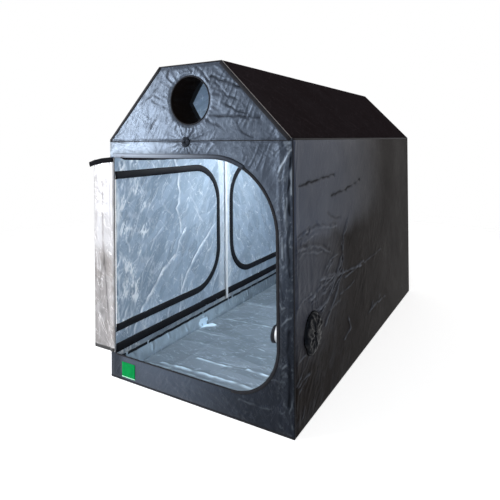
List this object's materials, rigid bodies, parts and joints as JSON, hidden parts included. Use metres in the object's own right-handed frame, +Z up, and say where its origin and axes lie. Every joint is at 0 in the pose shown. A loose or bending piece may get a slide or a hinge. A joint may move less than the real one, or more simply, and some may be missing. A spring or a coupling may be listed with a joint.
{
  "type": "indoor grow tent",
  "caption": "Attic-roofed indoor grow tent: plug-together tube frame, foil-lined cloth cover, floor tray, folding front door, side doors, drawstring vents and zip sliders.",
  "frame": {"origin": "centre of the underside of the floor sheet", "axes": "+Z up, -Y out of the front doorway, +X to the right as seen from the front"},
  "size_m": [1.3648, 2.4107, 1.8],
  "materials": {
    "tube_white": "white powder coat, satin",
    "connector_black": "moulded, matt",
    "cover_black": "coated ripstop with a strong sheen, foil-lined inside",
    "door_lining": "crinkled silver foil on black coated cloth",
    "tray_sheet": "crinkled silver foil sheet with a black hem",
    "sock_black": "soft lightproof cloth, matt",
    "zip_metal": "dark plated"
  },
  "bodies": {
    "tent": {"floor_rail_left": "tube_white", "floor_rail_right": "tube_white", "floor_bar_front": "tube_white", "floor_bar_rear": "tube_white", "post_left_front": "tube_white", "post_left_middle": "tube_white", "post_left_rear": "tube_white", "post_right_front": "tube_white", "post_right_middle": "tube_white", "post_right_rear": "tube_white", "eave_rail_left": "tube_white", "eave_rail_right": "tube_white", "hanging_bar": "tube_white", "rafter_left_front": "tube_white", "rafter_left_middle": "tube_white", "rafter_left_rear": "tube_white", "rafter_right_front": "tube_white", "rafter_right_middle": "tube_white", "rafter_right_rear": "tube_white", "ridge_rail_left": "tube_white", "ridge_rail_right": "tube_white", "ridge_bar_front": "tube_white", "ridge_bar_middle": "tube_white", "ridge_bar_rear": "tube_white", "floor_connector_left_front": "connector_black", "floor_connector_left_rear": "connector_black", "floor_connector_right_front": "connector_black", "floor_connector_right_rear": "connector_black", "eave_connector_left_front": "connector_black", "eave_connector_left_rear": "connector_black", "eave_connector_right_front": "connector_black", "eave_connector_right_rear": "connector_black", "ridge_connector_left_front": "connector_black", "ridge_connector_left_rear": "connector_black", "ridge_connector_right_front": "connector_black", "ridge_connector_right_rear": "connector_black", "front_wall": "cover_black", "rear_wall": "cover_black", "left_wall": "cover_black", "right_wall": "cover_black", "roof_cover": "cover_black", "floor_sheet": "cover_black", "floor_tray": "tray_sheet", "roof_vent_sleeve": "sock_black", "low_vent_sleeve": "door_lining", "low_vent_sock": "sock_black", "cable_port": "sock_black"},
    "door_strip_1": {"front_door_strip_1": "door_lining"},
    "door_strip_2": {"front_door_strip_2": "door_lining"},
    "door_strip_3": {"front_door_strip_3": "door_lining"},
    "door_strip_4": {"front_door_strip_4": "door_lining"},
    "door_strip_5": {"front_door_strip_5": "door_lining"},
    "door_strip_6": {"front_door_strip_6": "door_lining"},
    "door_strip_7": {"front_door_strip_7": "door_lining"},
    "door_strip_8": {"front_door_strip_8": "door_lining"},
    "side_flap_front": {"side_door_front": "cover_black"},
    "side_flap_rear": {"side_door_rear": "cover_black"},
    "front_zip": {"front_zip_slider": "zip_metal"},
    "side_zip_front": {"side_zip_slider_front": "zip_metal"},
    "side_zip_rear": {"side_zip_slider_rear": "zip_metal"}
  },
  "joints": [
    {"name": "front_door_swing", "type": "hinge", "parent": "tent", "child": "door_strip_1", "pos_m": [-0.564, -1.20165, 0.7], "axis": [0, 0, 1], "range_deg": [0, 180]},
    {"name": "front_door_fold_2", "type": "hinge", "parent": "door_strip_1", "child": "door_strip_2", "pos_m": [-0.737, -1.20165, 0.7], "axis": [0, 0, 1], "range_deg": [0, 180]},
    {"name": "front_door_fold_3", "type": "hinge", "parent": "door_strip_2", "child": "door_strip_3", "pos_m": [-0.608, -1.19995, 0.7], "axis": [0, 0, 1], "range_deg": [-180, 0]},
    {"name": "front_door_fold_4", "type": "hinge", "parent": "door_strip_3", "child": "door_strip_4", "pos_m": [-0.737, -1.19825, 0.7], "axis": [0, 0, 1], "range_deg": [0, 180]},
    {"name": "front_door_fold_5", "type": "hinge", "parent": "door_strip_4", "child": "door_strip_5", "pos_m": [-0.608, -1.19655, 0.7], "axis": [0, 0, 1], "range_deg": [-180, 0]},
    {"name": "front_door_fold_6", "type": "hinge", "parent": "door_strip_5", "child": "door_strip_6", "pos_m": [-0.737, -1.19485, 0.7], "axis": [0, 0, 1], "range_deg": [0, 180]},
    {"name": "front_door_fold_7", "type": "hinge", "parent": "door_strip_6", "child": "door_strip_7", "pos_m": [-0.608, -1.19315, 0.7], "axis": [0, 0, 1], "range_deg": [-180, 0]},
    {"name": "front_door_fold_8", "type": "hinge", "parent": "door_strip_7", "child": "door_strip_8", "pos_m": [-0.737, -1.19145, 0.7], "axis": [0, 0, 1], "range_deg": [0, 180]},
    {"name": "side_door_front_swing", "type": "hinge", "parent": "tent", "child": "side_flap_front", "pos_m": [-0.60035, -1.164, 0.7], "axis": [0, 0, 1], "range_deg": [0, 90]},
    {"name": "side_door_rear_swing", "type": "hinge", "parent": "tent", "child": "side_flap_rear", "pos_m": [-0.60035, 1.164, 0.7], "axis": [0, 0, 1], "range_deg": [-170, 0]},
    {"name": "front_zip_slide", "type": "slide", "parent": "tent", "child": "front_zip", "axis": [1, 0, 0], "range_m": [0, 0.63]},
    {"name": "side_zip_front_slide", "type": "slide", "parent": "tent", "child": "side_zip_front", "axis": [0, 1, 0], "range_m": [0, 0.69]},
    {"name": "side_zip_rear_slide", "type": "slide", "parent": "tent", "child": "side_zip_rear", "axis": [0, -1, 0], "range_m": [0, 0.69]}
  ],
  "couplings": [
    {"joint": "front_door_fold_3", "follows": "front_door_fold_2", "ratio": -1},
    {"joint": "front_door_fold_4", "follows": "front_door_fold_2", "ratio": 1},
    {"joint": "front_door_fold_5", "follows": "front_door_fold_2", "ratio": -1},
    {"joint": "front_door_fold_6", "follows": "front_door_fold_2", "ratio": 1},
    {"joint": "front_door_fold_7", "follows": "front_door_fold_2", "ratio": -1},
    {"joint": "front_door_fold_8", "follows": "front_door_fold_2", "ratio": 1}
  ]
}
